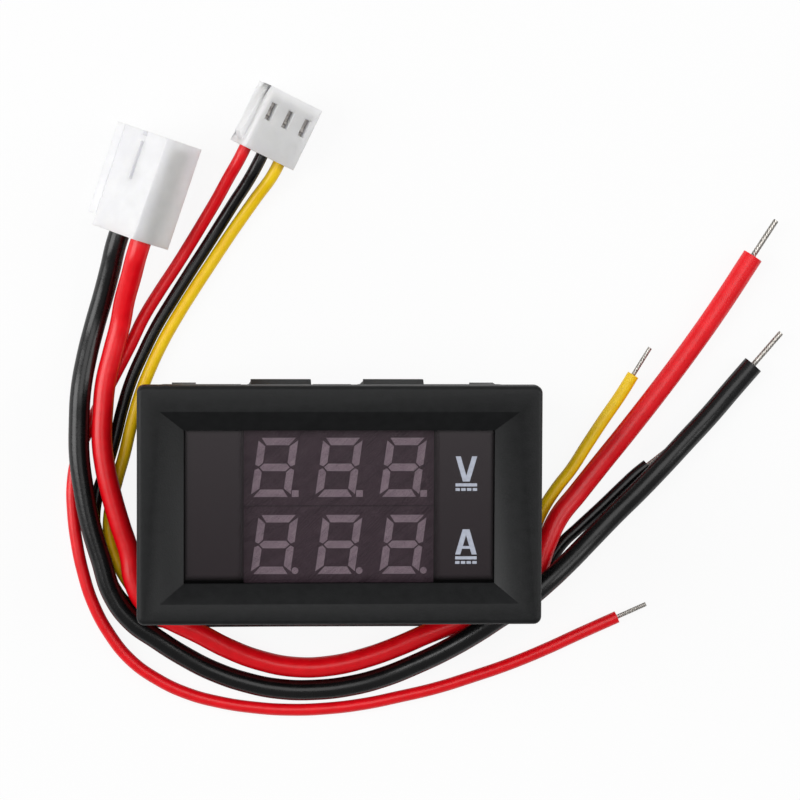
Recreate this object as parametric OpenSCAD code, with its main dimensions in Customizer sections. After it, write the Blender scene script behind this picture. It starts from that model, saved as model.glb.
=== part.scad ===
// Digital panel meter for volts and amps, with its two loose lead sets.
// Millimetres, +Z out of the display. The meter lies on its back: the rear
// rim of the housing is at z = 0 and the leads lie on the same surface.

/* [Bezel] */
// Width of the front bezel
bezel_w = 48; // [47.2:0.2:54]
// Height of the front bezel
bezel_h = 28.4; // [27.8:0.2:34]
// Thickness of the bezel flange
bezel_t = 2.6; // [2.3:0.1:3.5]
// Radius of the bezel's four corners
bezel_corner_r = 0.9; // [0.8:0.1:2]
// Rounding of the bezel's front edge
bezel_edge_r = 0.6; // [0.3:0.1:0.7]
// Width of the sloped recess at the front face
recess_w = 42.6; // [40:0.2:44]
// Height of the sloped recess at the front face
recess_h = 22.8; // [21:0.2:24]
// Depth of the sloped recess
recess_depth = 1.6; // [1:0.1:2]
// Thickness of the lip round the window
lip_t = 0.5; // [0.3:0.1:0.8]

/* [Housing] */
// Depth from the front face to the rear rim
depth = 21; // [21:0.5:30]
// Width of the body behind the bezel
body_w = 45; // [44.6:0.1:45.8]
// Height of the body behind the bezel
body_h = 26.2; // [25.8:0.1:26.6]
// Thickness of the body walls
body_wall = 1.2; // [0.9:0.1:1.3]
// Radius of the body's upright corners
body_corner_r = 2; // [1.4:0.1:3]
// How far the window and the displays sit below the middle
view_drop = 0.3; // [0:0.1:0.5]

/* [Clips] */
// Width of a snap clip
clip_w = 7.2; // [5:0.1:9]
// Distance between the two clips of one side
clip_pitch = 13.5; // [11.5:0.1:18]
// How far a clip's crest stands out of the body wall
clip_rise = 1.35; // [0.8:0.05:1.6]
// Distance from the bezel's rear face to the clip's crest
clip_crest = 6; // [4:0.5:8]
// Width of the slots beside a clip
clip_slot = 0.8; // [0.5:0.1:1.2]
// Width of the small guide ribs near the corners
rib_w = 2.9; // [2:0.1:4]
// Distance between the guide ribs of one side
rib_pitch = 36.4; // [32:0.2:37]
// How far a guide rib stands out of the wall
rib_rise = 0.35; // [0.2:0.05:0.5]

/* [Window] */
// Width of the window opening
window_w = 36.9; // [34:0.1:38]
// Height of the window opening
window_h = 18.2; // [17:0.1:19]
// Thickness of the tinted filter
filter_t = 1; // [0.8:0.1:1.5]
// How far the filter reaches behind the lip on each side
filter_lap = 0.7; // [0.4:0.1:0.9]
// Gap round the filter in its pocket
filter_gap = 0.1; // [0.05:0.05:0.2]

/* [Displays] */
// Width of one three-digit display
case_w = 22.6; // [22:0.1:26]
// Height of one display
case_h = 9.1; // [8:0.1:9.2]
// Thickness of one display
case_t = 6.1; // [5:0.1:7]
// Distance between the two rows of digits
row_pitch = 9.2; // [9.2:0.1:9.4]
// Distance between digits in a row
digit_pitch = 7.65; // [7:0.05:8]
// Height of a digit
digit_h = 7.05; // [6:0.05:7.4]
// Width of a digit
digit_w = 4.7; // [4:0.05:5.2]
// Lean of the digits, in degrees
digit_lean = 7.8; // [0:0.2:12]
// Width of a segment's stroke
stroke = 0.89; // [0.6:0.01:1]
// Gap between neighbouring segments
stroke_gap = 0.18; // [0.1:0.02:0.3]
// Depth of the segment wells in the display's face
well_depth = 0.4; // [0.2:0.1:1]
// Size of a decimal point
point_size = 0.8; // [0.5:0.05:1]

/* [Circuit board] */
// Thickness of the circuit board
board_t = 1.6; // [1:0.1:1.6]
// Gap between the board's edge and the body walls
board_gap = 0.2; // [0.1:0.05:0.4]
// Distance of each connector from the board's middle
header_x = 15.5; // [15:0.1:16]
// Distance between the two calibration trimmers
trimmer_pitch = 4.8; // [4.4:0.1:5.2]
// Diameter of a trimmer's rotor
rotor_d = 3; // [2.4:0.1:3.4]
// Radial clearance of a rotor's stub in its bore
rotor_gap = 0.05; // [0.02:0.01:0.1]

/* [Load plug] */
// Distance between the two contacts of the load plug
load_pitch = 3.96; // [3.9:0.01:4]
// Width of the load plug
load_plug_w = 7.6; // [7.2:0.1:8.2]
// Thickness of the load plug
load_plug_t = 6.4; // [5:0.1:6.5]
// Length of the load plug
load_plug_l = 12.8; // [11:0.1:14]
// Width of a contact cavity in the load plug
load_cavity = 2.5; // [2.3:0.1:2.7]
// Diameter of the load leads
load_lead_d = 2.55; // [2:0.05:2.6]

/* [Supply plug] */
// Distance between the three contacts of the supply plug
supply_pitch = 2.5; // [2.4:0.01:2.54]
// Width of the supply plug
supply_plug_w = 7.6; // [7.4:0.1:8.5]
// Thickness of the supply plug
supply_plug_t = 4.4; // [3.8:0.1:4.6]
// Length of the supply plug
supply_plug_l = 8; // [7.4:0.1:9]
// Diameter of the supply and sense leads
supply_lead_d = 1.5; // [1.2:0.05:1.5]

/* [Hidden] */
$fn = 32;
eps = 0.01;

// Levels behind the front face, worked out from the stack of parts
flange_z = depth - bezel_t;
lip_z = depth - recess_depth - lip_t;
filter_z = lip_z - filter_t;
case_z = filter_z - case_t;
board_z = case_z - board_t;
inner_w = body_w - 2 * body_wall;
inner_h = body_h - 2 * body_wall;
view_y = -view_drop;

// Board and its ledges
inner_corner_r = body_corner_r - body_wall / 2;
board_w = inner_w - 2 * board_gap;
board_h = inner_h - 2 * board_gap;
board_corner_r = inner_corner_r - board_gap;
ledge = 2;
catch_lap = 0.4;
catch_l = 3;
catch_h = 1.2;
catch_y = 7.5;

// Clip and rib details
clip_foot_z = 2;
clip_step = 0.35;
slot_top = flange_z - 1.5;
rib_foot_z = 2;
rib_top_z = depth * 0.5;

// Display pins
pin_d = 0.5;
pin_hole_d = 0.8;
pin_count = 6;
pin_pitch = 2.54;
pin_row_y = 3.2;
pin_tail = 1.4;
solder_d = 1.4;
solder_h = 0.9;

// Two-pin load header: a base with a locking wall behind it
load_header_w = load_plug_w + 0.2;
load_header_x = 7.4;
load_header_base = 3;
load_header_wall = 1.2;
load_header_h = 9.2;
load_pin_d = 1.1;
load_pin_l = 9.4;

// Three-pin supply header: a box shroud open to the rear
shroud_wall = 0.8;
shroud_gap = 0.1;
shroud_base = 1.4;
shroud_h = 6;
supply_pin_d = 0.64;
supply_pin_l = 5.2;
front_tail = 1;

// Shunt: a bowed resistance wire
shunt_d = 1.5;
shunt_r = 4;
shunt_leg = 2.4;
shunt_at = [-9.5, -3];

// Surface-mount parts: [length, width, height] and places on the board
chip_size = [5.5, 3, 1.1];
chip_at = [-1.5, 4.3];
chip_leads = 8;
chip_lead_pitch = 0.65;
amp_size = [3, 3, 1.1];
amp_at = [2.5, -4.9];
amp_leads = 4;
amp_lead_pitch = 0.65;
regulator_size = [4.5, 2.5, 1.5];
regulator_at = [9.7, -3.6];
lead_w = 0.3;
lead_out = 0.75;
lead_t = 0.2;
diode_size = [4.3, 2.6, 2.1];
diode_at = [15.5, -8.5];
resistor_size = [1.6, 0.8, 0.45];
resistor_places = [
    [-5.5, 3], [-5.5, 5.4], [-5, 9.4], [-2.5, 9.4], [0, 9.4], [2.5, 9.4],
    [-5.5, -3.6], [-5.5, -4.9], [-5.5, -6.2], [-3, -3.6], [-3, -4.9], [-3, -6.2],
    [9.7, -10.2], [-9.5, 8.6]
];
capacitor_size = [2, 1.25, 0.9];
capacitor_places = [
    [5, 5.4], [5, 3.2], [5.5, 10], [6, -4.9], [9.7, 0.4], [9.7, -7.6], [0, -10.3], [4, -10.3],
    [-4.5, -10.3], [-9.5, 5.6]
];

// Trimmers, one above the other beside the supply header
trimmer_at = [9.7, 6.7];
trimmer_size = [3.8, 3.6, 1.1];
rotor_t = 0.6;
stub_d = 1.2;
stub_l = 0.7;
rotor_lift = 0.05;
cross_w = 0.45;
cross_l = 2;
cross_depth = 0.35;

// Plugs: place of the wire end, heading from +Y and roll about the length
load_plug_at = [-24.7, 31.2, 5.06];
load_plug_heading = 18.5;
load_plug_roll = 46.5;
load_seat = 3;
load_bore_r = load_lead_d / 2 + 0.05;
load_contact = load_cavity - 0.1;
load_rib = 1.35;
load_rib_foot = 1.3;
load_slot_w = 0.5;
load_slot_l = 4.8;
load_slot_top = 1.3;
load_notch = [0.8, 0.55];
load_latch_w = 3.6;
load_latch_t = 1.1;
supply_plug_at = [-8.76, 41.19, 3.62];
supply_plug_heading = 26;
supply_plug_roll = -24;
supply_seat = 1.6;
supply_bore_r = supply_lead_d / 2 + 0.05;
supply_cavity_w = 1.7;
supply_cavity_t = 2.5;
supply_contact_w = 1.6;
supply_contact_t = 2.4;
supply_window = [0.85, 2.2];
supply_window_top = 1.75;
supply_lance = [0.5, 0.65];
plug_edge_r = 0.4;
supply_rib = 0.8;
lance_root = supply_plug_l - supply_seat - supply_window_top - 0.7;

// Bare ends
load_strands_d = 0.7;
load_strands_l = 5.2;
supply_strands_d = 0.55;
supply_strands_l = 3.9;
tucked_strands_l = 3;
lead_sides = 8;

// Where a lead leaves its plug: x along the row of contacts, out along the lead
function plug_exit(at, heading, roll, x, out) = at + [
    x * cos(roll) * cos(heading) - out * sin(heading),
    -x * cos(roll) * sin(heading) - out * cos(heading),
    x * sin(roll)
];
function load_exit(x, out) = plug_exit(load_plug_at, load_plug_heading, load_plug_roll, x, out);
function supply_exit(x, out) = plug_exit(supply_plug_at, supply_plug_heading, supply_plug_roll, x, out);

// Routes of the five leads, from the plug to the bare end
load_black_route = concat([load_exit(-load_pitch / 2, -load_seat), load_exit(-load_pitch / 2, 1.5)], [
    [-27.1, 27.5, 2.9], [-28, 24, 2.05], [-29, 20.5, 1.6], [-30.01, 16.49, 2.2], [-30.71, 12.49, 2.9],
    [-30.93, 8.48, 2.9], [-30.9, 4.46, 2.9], [-30.4, 0.46, 2.9], [-29.63, -3.59, 2.9], [-28.29, -8.14, 2.9],
    [-26.79, -12.67, 2.89], [-24.47, -15.81, 2.89], [-21.63, -17.92, 2.49], [-18, -20.32, 1.79], [-14.51, -22.16, 1.4],
    [-10.49, -23.58, 1.3], [-6.5, -24.39, 1.3], [-2.01, -24.54, 1.31], [2.43, -24.02, 1.42], [6.35, -22.93, 1.93],
    [10.26, -21.24, 2.85], [14.12, -19.23, 4], [17.57, -17.08, 5.11], [20.16, -15.29, 5.66], [22.91, -13.52, 5.74],
    [25.98, -11.08, 5.33], [28.9, -8.51, 4.42], [31.8, -5.7, 3.51], [34.75, -2.75, 3], [37.73, 0.17, 2.9],
    [40.73, 3.26, 2.7], [43.67, 6.32, 2.1], [46.6, 9.38, 1.5], [49.36, 12.58, 1.3], [51.96, 15.58, 1.3]
]);
load_red_route = concat([load_exit(load_pitch / 2, -load_seat), load_exit(load_pitch / 2, 1.5)], [
    [-24.62, 26.45, 5.2], [-25.41, 23.5, 3.95], [-25.95, 20.5, 3.1], [-26.85, 17, 2.9], [-27.7, 13.5, 2.9],
    [-28.05, 10, 2.9], [-28.16, 6.5, 2.9], [-27.75, 3.03, 2.9], [-26.97, -0.43, 2.9], [-25.94, -4, 2.9],
    [-24.82, -7.51, 2.9], [-24.31, -10.7, 2.9], [-23.32, -13, 2.91], [-21.56, -14.74, 2.91], [-19.28, -15.87, 3.01],
    [-16.32, -17.34, 2.61], [-12.89, -19.21, 1.9], [-8.92, -20.81, 1.4], [-4.47, -21.7, 1.3], [-0.05, -21.54, 1.4],
    [4.34, -20.5, 1.69], [8.28, -19.02, 2.19], [11.77, -17.44, 2.78], [15.09, -16.25, 2.85], [18.29, -15.55, 2.85],
    [21.19, -14.87, 2.87], [23.5, -13.39, 2.88], [24.9, -11.19, 2.88], [25.6, -8.6, 2.79], [26.5, -6, 2.69],
    [27.9, -3.13, 2.3], [30.31, -0.22, 1.6], [33.06, 3.2, 1.3], [36.44, 7.42, 1.3], [40.35, 12.46, 1.3],
    [44, 17.37, 1.3], [47.72, 22.7, 1.3], [51.8, 29, 1.3]
]);
supply_red_route = concat([supply_exit(-supply_pitch, -supply_seat), supply_exit(-supply_pitch, 1.5)], [
    [-12.83, 38.37, 3.55], [-14.15, 35.86, 2.45], [-15.6, 33.35, 1.5], [-17.25, 30.57, 0.95], [-19.08, 27.62, 0.8],
    [-21.1, 24.55, 0.8], [-23.06, 21.33, 0.8], [-24.7, 17.9, 0.8], [-26.5, 14.4, 0.8], [-28.3, 10.95, 0.8],
    [-29.95, 7.35, 0.8], [-31.2, 4.1, 0.8], [-31.75, 0.8, 0.8], [-31.7, -2.46, 0.8], [-31.3, -5.98, 0.8],
    [-30.48, -9.97, 0.8], [-29.22, -13.87, 0.8], [-27.33, -17.45, 0.8], [-24.73, -20.74, 0.8], [-21.33, -23.24, 0.8],
    [-17.62, -25, 0.8], [-13.71, -26.08, 0.8], [-9.47, -26.76, 0.8], [-5, -27.06, 0.8], [-0.52, -26.92, 0.8],
    [3.95, -26.4, 0.8], [8.43, -25.5, 0.8], [12.93, -24.46, 0.8], [17.46, -23.06, 0.8], [21.95, -21.53, 0.8],
    [26.38, -19.73, 0.8], [30.86, -17.69, 0.8], [35.36, -15.69, 0.8]
]);
supply_black_route = concat([supply_exit(0, -supply_seat), supply_exit(0, 1.5)], [
    [-10.6, 37.7, 2.75], [-12, 35.5, 1.85], [-13.41, 33.2, 1.15], [-15.21, 30.31, 0.87], [-17.33, 27.01, 0.8],
    [-19.45, 23.62, 0.8], [-21.46, 20.28, 0.8], [-23.18, 16.83, 0.8], [-24.62, 13.51, 0.8], [-25.65, 10.19, 0.8],
    [-26.57, 6.48, 0.8], [-27.58, 3.01, 0.8], [-28.76, -0.61, 0.8], [-29.08, -3.97, 0.8], [-28.49, -7.45, 0.8],
    [-27.2, -10.79, 0.8], [-25.25, -13.76, 0.8], [-22.73, -15.64, 0.8], [-19.57, -16.18, 0.79], [-15.04, -16.04, 0.79],
    [-10.52, -16.02, 0.8], [-6.01, -16.01, 0.8], [-1.5, -16.01, 0.8], [3, -16.01, 0.8], [7.5, -16.01, 0.79],
    [12.01, -16.01, 0.78], [16.52, -16.02, 0.78], [20.43, -15.93, 0.79], [22.96, -14.96, 0.79], [24.95, -13.25, 0.8],
    [26.13, -11.03, 0.8], [27.11, -8.71, 0.8], [28.43, -6.63, 0.8], [30.6, -4.55, 0.8], [33.4, -1.95, 0.8],
    [36.2, 0.75, 0.8], [37.6, 2.05, 0.8], [39, 3.15, 0.8]
]);
sense_yellow_route = concat([supply_exit(supply_pitch, -supply_seat), supply_exit(supply_pitch, 1.5)], [
    [-9.45, 35.87, 1.4], [-12.45, 31.54, 0.8], [-14.79, 28, 0.8], [-16.96, 24.67, 0.8], [-19.02, 21.34, 0.8],
    [-20.84, 18.08, 0.8], [-22.35, 14.83, 0.8], [-23.59, 11.6, 0.8], [-24.56, 8.19, 0.8], [-25.4, 4.6, 0.8],
    [-26.36, 1.2, 0.8], [-27.16, -2.19, 0.8], [-27.25, -5.48, 0.8], [-26.35, -8.57, 0.8], [-24.94, -11.24, 0.8],
    [-23.3, -13.29, 0.8], [-20.85, -14.14, 0.8], [-15.97, -14.07, 0.8], [-10.98, -14.08, 0.8], [-5.99, -14.09, 0.8],
    [-1, -14.09, 0.8], [4, -14.1, 0.8], [9, -14.09, 0.8], [13.99, -14.09, 0.8], [18.49, -14.19, 0.8],
    [20.88, -14.07, 0.8], [22.46, -13.35, 0.8], [23.58, -11.97, 0.8], [24.09, -10.09, 0.8], [24.39, -7.59, 0.8],
    [25, -5.1, 0.8], [26, -2.55, 0.8], [27.56, 0.03, 0.8], [29.6, 2.69, 0.8], [31.44, 5.58, 0.8],
    [33.45, 8.65, 0.8], [35.58, 11.76, 0.8], [37.15, 14.3, 0.8]
]);

// ---- Shared shapes ----

// Rectangle with round corners, from true circles
module rounded_rect(w, h, r) {
    square([w - 2 * r, h], center = true);
    square([w, h - 2 * r], center = true);
    for (x = [-1, 1], y = [-1, 1])
        translate([x * (w / 2 - r), y * (h / 2 - r)]) circle(r);
}

// Block centred in x and y, standing on z = 0
module block(size) {
    translate([-size[0] / 2, -size[1] / 2, 0]) cube(size);
}

// The same, hanging down from z = 0, as parts do on the board's rear
module hung_block(size) {
    translate([0, 0, -size[2]]) block(size);
}

// Four-sided tapered pocket, wide end up
module tapered_pocket(top, bottom, h) {
    hull() {
        translate([-top[0] / 2, -top[1] / 2, h]) cube([top[0], top[1], eps]);
        translate([-bottom[0] / 2, -bottom[1] / 2, 0]) cube([bottom[0], bottom[1], eps]);
    }
}

// ---- Housing and window ----

// Flange with its front edge rounded over
module bezel_plate() {
    steps = 4;
    hull() {
        translate([0, 0, flange_z]) block_rounded(bezel_t - bezel_edge_r, 0);
        for (i = [1:steps])
            let (a = 90 * i / steps, inset = bezel_edge_r * (1 - cos(a)))
                translate([0, 0, flange_z])
                    block_rounded(bezel_t - bezel_edge_r + bezel_edge_r * sin(a), inset);
    }
}

module block_rounded(h, inset) {
    for (x = [-1, 1], y = [-1, 1])
        translate([x * (bezel_w / 2 - bezel_corner_r), y * (bezel_h / 2 - bezel_corner_r), 0])
            cylinder(r = bezel_corner_r - inset, h = h, $fn = 24);
}

// Profile of a clip: a long ramp from the rear, a crest with a small step, a short back
module clip_tooth() {
    crest_z = flange_z - clip_crest;
    translate([-clip_w / 2, body_h / 2 - eps, 0])
        rotate([90, 0, 90])
            linear_extrude(clip_w)
                polygon([
                    [0, clip_foot_z], [clip_rise - clip_step, crest_z - 1.6],
                    [clip_rise - clip_step, crest_z - 1], [clip_rise, crest_z - 0.6],
                    [clip_rise, crest_z + 0.6], [0, crest_z + clip_rise * 2]
                ]);
}

module each_clip() {
    for (side = [0, 1], x = [-1, 1])
        mirror([0, side, 0]) translate([x * clip_pitch / 2, 0, 0]) children();
}

// Guide rib near a corner of the body, with a tapered foot
module guide_rib() {
    translate([-rib_w / 2, body_h / 2 - eps, 0])
        rotate([90, 0, 90])
            linear_extrude(rib_w)
                polygon([
                    [0, rib_foot_z], [rib_rise, rib_foot_z + rib_rise],
                    [rib_rise, rib_top_z], [0, rib_top_z + 2 * rib_rise]
                ]);
}

// Wedge on the inside wall that the board snaps behind
module board_catch() {
    translate([inner_w / 2 + eps, -catch_l / 2, board_z])
        rotate([-90, 0, 0])
            linear_extrude(catch_l)
                polygon([[0, 0], [-board_gap - catch_lap - eps, 0], [0, catch_h]]);
}

module housing() {
    color([0.18, 0.18, 0.19])
    difference() {
        union() {
            bezel_plate();
            linear_extrude(flange_z + eps) rounded_rect(body_w, body_h, body_corner_r);
            each_clip() clip_tooth();
            for (side = [0, 1], x = [-1, 1])
                mirror([0, side, 0]) translate([x * rib_pitch / 2, 0, 0]) guide_rib();
        }
        // Sloped recess and the window through the lip
        translate([0, view_y, depth - recess_depth])
            tapered_pocket([recess_w, recess_h], [window_w, window_h], recess_depth);
        translate([0, view_y, filter_z]) block([window_w, window_h, depth]);
        // Pocket for the filter, open to the rear
        translate([0, view_y, filter_z - eps])
            block([window_w + 2 * (filter_lap + filter_gap), window_h + 2 * (filter_lap + filter_gap),
                   filter_t + eps]);
        // Inside of the body
        difference() {
            translate([0, 0, -1])
                linear_extrude(filter_z + 1)
                    rounded_rect(inner_w, inner_h, inner_corner_r);
            // Ledges that carry the front of the board
            for (x = [-1, 1], y = [-1, 1])
                translate([x * inner_w / 2, y * inner_h / 2, case_z])
                    block([2 * ledge, 2 * ledge, filter_z]);
            for (side = [0, 1], y = [-1, 1])
                mirror([side, 0, 0]) translate([0, y * catch_y, 0]) board_catch();
        }
        // Slots that free the clips
        for (side = [0, 1], x = [-1, 1], edge = [-1, 1])
            mirror([0, side, 0])
                translate([x * clip_pitch / 2 + edge * (clip_w + clip_slot) / 2, body_h / 2 - body_wall, -1])
                    block([clip_slot, 2 * body_wall + 1, slot_top + 1]);
    }
}

module window_filter() {
    color([0.2, 0.17, 0.18])
    translate([0, view_y, filter_z])
        block([window_w + 2 * filter_lap, window_h + 2 * filter_lap, filter_t]);
}

// ---- Displays ----

function leaning(points) = [for (p = points) [p[0] + p[1] * tan(digit_lean), p[1]]];
function flipped(points, fx, fy) = [for (p = points) [p[0] * fx, p[1] * fy]];
half_w = digit_w / 2;
half_h = digit_h / 2;
mitre = stroke_gap * 0.7;
corner_cut = 0.2;
top_stroke = [
    [-half_w + mitre + corner_cut, half_h], [half_w - mitre - corner_cut, half_h],
    [half_w - stroke - mitre, half_h - stroke], [-half_w + stroke + mitre, half_h - stroke]
];
side_stroke = [
    [-half_w, half_h - mitre - corner_cut], [-half_w + stroke, half_h - stroke - mitre],
    [-half_w + stroke, stroke / 2 + mitre], [-half_w + stroke / 2, mitre], [-half_w, mitre + corner_cut]
];
middle_stroke = [
    [-half_w + stroke / 2 + mitre, 0], [-half_w + stroke + mitre, stroke / 2],
    [half_w - stroke - mitre, stroke / 2], [half_w - stroke / 2 - mitre, 0],
    [half_w - stroke - mitre, -stroke / 2], [-half_w + stroke + mitre, -stroke / 2]
];

// The seven strokes and the point of one digit
module digit_shape(round_point) {
    for (fy = [-1, 1]) polygon(leaning(flipped(top_stroke, 1, fy)));
    for (fx = [-1, 1], fy = [-1, 1]) polygon(leaning(flipped(side_stroke, fx, fy)));
    polygon(leaning(middle_stroke));
    translate([half_w + point_size / 2 + stroke_gap - half_h * tan(digit_lean), -half_h + point_size / 2])
        if (round_point) circle(point_size / 2);
        else square(point_size, center = true);
}

// One digit's strokes, filling their wells up to the display's face
module digit(row, column) {
    color([0.5, 0.43, 0.46])
    translate([column * digit_pitch, view_y + row * row_pitch / 2, filter_z - well_depth])
        linear_extrude(well_depth) digit_shape(row < 0);
}

module display_case(row) {
    color([0.21, 0.19, 0.2])
    difference() {
        translate([0, view_y + row * row_pitch / 2, case_z]) block([case_w, case_h, case_t]);
        for (column = [-1:1])
            translate([column * digit_pitch, view_y + row * row_pitch / 2, filter_z - well_depth])
                linear_extrude(2 * well_depth) digit_shape(row < 0);
    }
}

// Places of the display pins on the board
module each_display_pin() {
    for (row = [-1, 1], side = [-1, 1], i = [0:pin_count - 1])
        translate([(i - (pin_count - 1) / 2) * pin_pitch, view_y + row * row_pitch / 2 + side * pin_row_y, 0])
            children();
}

// Straight pin through the board with a cone of solder on its rear
module soldered_pin(d, top_z, tail_z, cone_z, cone_way) {
    translate([0, 0, tail_z]) cylinder(d = d, h = top_z - tail_z);
    translate([0, 0, cone_way > 0 ? cone_z : cone_z - solder_h])
        cylinder(d1 = cone_way > 0 ? solder_d : d + 0.1, d2 = cone_way > 0 ? d + 0.1 : solder_d, h = solder_h);
}

module display_pins() {
    color([0.8, 0.8, 0.78])
    each_display_pin() soldered_pin(pin_d, case_z, board_z - pin_tail, board_z, -1);
}

// ---- Circuit board and what it carries on its rear ----

module each_load_pin() {
    for (y = [-1, 1]) translate([-header_x, y * load_pitch / 2, 0]) children();
}

module each_supply_pin() {
    for (y = [-1:1]) translate([header_x, y * supply_pitch, 0]) children();
}

module each_shunt_leg() {
    for (y = [-1, 1]) translate([shunt_at[0], shunt_at[1] + y * shunt_r, 0]) children();
}

module main_board() {
    color([0.05, 0.3, 0.16])
    difference() {
        translate([0, 0, board_z])
            linear_extrude(board_t) rounded_rect(board_w, board_h, board_corner_r);
        translate([0, 0, board_z - 1]) {
            each_display_pin() cylinder(d = pin_hole_d, h = board_t + 2);
            each_load_pin() cylinder(d = load_pin_d + 0.3, h = board_t + 2);
            each_supply_pin() cylinder(d = supply_pin_d + 0.3, h = board_t + 2);
            each_shunt_leg() cylinder(d = shunt_d + 0.2, h = board_t + 2);
        }
    }
}

// White base with a locking wall on its outer side
module load_header() {
    color([0.93, 0.93, 0.9])
    translate([-header_x, 0, board_z])
        difference() {
            union() {
                hung_block([load_header_x, load_header_w, load_header_base]);
                translate([-(load_header_x - load_header_wall) / 2, 0, 0])
                    hung_block([load_header_wall, load_header_w, load_header_h]);
                // Catch that the plug's latch hooks over
                translate([-load_header_x / 2 + load_header_wall - eps, load_latch_w / 2, -load_header_h])
                    rotate([90, 0, 0])
                        linear_extrude(load_latch_w)
                            polygon([[0, 0.6], [0.7, 2], [0, 2]]);
            }
            for (y = [-1, 1])
                translate([0, y * load_pitch / 2, -load_header_base - 1])
                    cylinder(d = load_pin_d, h = load_header_base + 2);
        }
}

module load_header_pins() {
    color([0.82, 0.82, 0.8])
    each_load_pin()
        soldered_pin(load_pin_d, case_z + front_tail, board_z - load_pin_l, case_z, 1);
}

module supply_header() {
    inside = [supply_plug_t + 2 * shroud_gap, supply_plug_w + 2 * shroud_gap, shroud_h - shroud_base];
    color([0.93, 0.93, 0.9])
    translate([header_x, 0, board_z])
        difference() {
            hung_block([inside[0] + 2 * shroud_wall, inside[1] + 2 * shroud_wall, shroud_h]);
            translate([0, 0, -shroud_h - 1]) block([inside[0], inside[1], inside[2] + 1]);
            // Two key slots in the inner long wall
            for (y = [-1, 1])
                translate([-inside[0] / 2 - shroud_wall, y * supply_pitch, -shroud_h - 1])
                    block([2 * shroud_wall + 0.2, 1, inside[2] + 1]);
            for (y = [-1:1])
                translate([0, y * supply_pitch, -shroud_h])
                    cylinder(d = supply_pin_d, h = shroud_h + 1);
        }
}

module supply_header_pins() {
    color([0.82, 0.82, 0.8])
    each_supply_pin()
        soldered_pin(supply_pin_d, case_z + front_tail, board_z - supply_pin_l, case_z, 1);
}

// Bowed wire standing on two legs
module shunt() {
    color([0.72, 0.52, 0.38])
    translate([shunt_at[0], shunt_at[1], board_z - shunt_leg]) {
        for (y = [-1, 1])
            translate([0, y * shunt_r, 0]) cylinder(d = shunt_d, h = shunt_leg + board_t);
        rotate([0, 90, 0])
            rotate([0, 0, -90])
                rotate_extrude(angle = 180) translate([shunt_r, 0]) circle(d = shunt_d);
    }
}

module chip(size, at) {
    translate([at[0], at[1], board_z - 0.1])
        difference() {
            hung_block([size[0], size[1], size[2] - 0.1]);
            translate([-size[0] / 2 + 0.8, size[1] / 2 - 0.8, -size[2]]) cylinder(d = 0.6, h = 0.3);
        }
}

module controller_chip() {
    color([0.1, 0.1, 0.11]) chip(chip_size, chip_at);
}

module amplifier_chip() {
    color([0.1, 0.1, 0.11]) chip(amp_size, amp_at);
}

module regulator() {
    color([0.1, 0.1, 0.11]) chip(regulator_size, regulator_at);
}

// Bent lead: a foot on the board and a shoulder into the package
module gull_lead(package_h) {
    translate([0, 0, -lead_t]) cube([lead_out, lead_w, lead_t]);
    translate([0, 0, -package_h / 2 - lead_t]) cube([lead_t, lead_w, package_h / 2 + lead_t]);
}

module component_leads() {
    color([0.78, 0.78, 0.76])
    translate([0, 0, board_z]) {
        for (side = [0, 1], i = [0:chip_leads - 1])
            translate([chip_at[0] + (i - (chip_leads - 1) / 2) * chip_lead_pitch, chip_at[1], 0])
                mirror([0, side, 0])
                    translate([lead_w / 2, chip_size[1] / 2, 0]) rotate([0, 0, 90]) gull_lead(chip_size[2]);
        for (side = [0, 1], i = [0:amp_leads - 1])
            translate([amp_at[0], amp_at[1] + (i - (amp_leads - 1) / 2) * amp_lead_pitch, 0])
                mirror([side, 0, 0])
                    translate([amp_size[0] / 2, -lead_w / 2, 0]) gull_lead(amp_size[2]);
        for (i = [-1:1])
            translate([regulator_at[0] + i * 1.5, regulator_at[1] + regulator_size[1] / 2, 0])
                translate([lead_w / 2, 0, 0]) rotate([0, 0, 90]) gull_lead(regulator_size[2]);
        for (side = [0, 1])
            translate([diode_at[0], diode_at[1], 0])
                mirror([side, 0, 0])
                    translate([diode_size[0] / 2, -0.75, 0]) {
                        translate([0, 0, -lead_t]) cube([0.5, 1.5, lead_t]);
                        translate([0, 0, -diode_size[2] / 2]) cube([lead_t, 1.5, diode_size[2] / 2]);
                    }
    }
}

module resistors() {
    color([0.12, 0.12, 0.13])
    for (p = resistor_places)
        translate([p[0], p[1], board_z]) hung_block(resistor_size);
}

module capacitors() {
    color([0.62, 0.5, 0.36])
    for (p = capacitor_places)
        translate([p[0], p[1], board_z]) hung_block(capacitor_size);
}

module diode() {
    color([0.1, 0.1, 0.11])
    translate([diode_at[0], diode_at[1], board_z]) hung_block(diode_size);
}

// Square base with a blind bore for the rotor's stub
module trimmer_base(side) {
    color([0.85, 0.83, 0.78])
    translate([trimmer_at[0], trimmer_at[1] + side * trimmer_pitch / 2, board_z])
        difference() {
            hung_block(trimmer_size);
            translate([0, 0, -trimmer_size[2] - 1])
                cylinder(d = stub_d + 2 * rotor_gap, h = stub_l + rotor_gap + 1);
        }
}

// Brass disc with a cross slot, turned from the rear with a screwdriver
module trimmer_rotor(side) {
    color([0.8, 0.68, 0.4])
    translate([trimmer_at[0], trimmer_at[1] + side * trimmer_pitch / 2, board_z - trimmer_size[2] - rotor_lift])
        difference() {
            union() {
                translate([0, 0, -rotor_t]) cylinder(d = rotor_d, h = rotor_t);
                cylinder(d = stub_d, h = stub_l);
            }
            for (turn = [0, 90])
                rotate([0, 0, turn])
                    translate([0, 0, -rotor_t - 1]) block([cross_l, cross_w, cross_depth + 1]);
        }
}

// ---- Plugs ----

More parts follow.
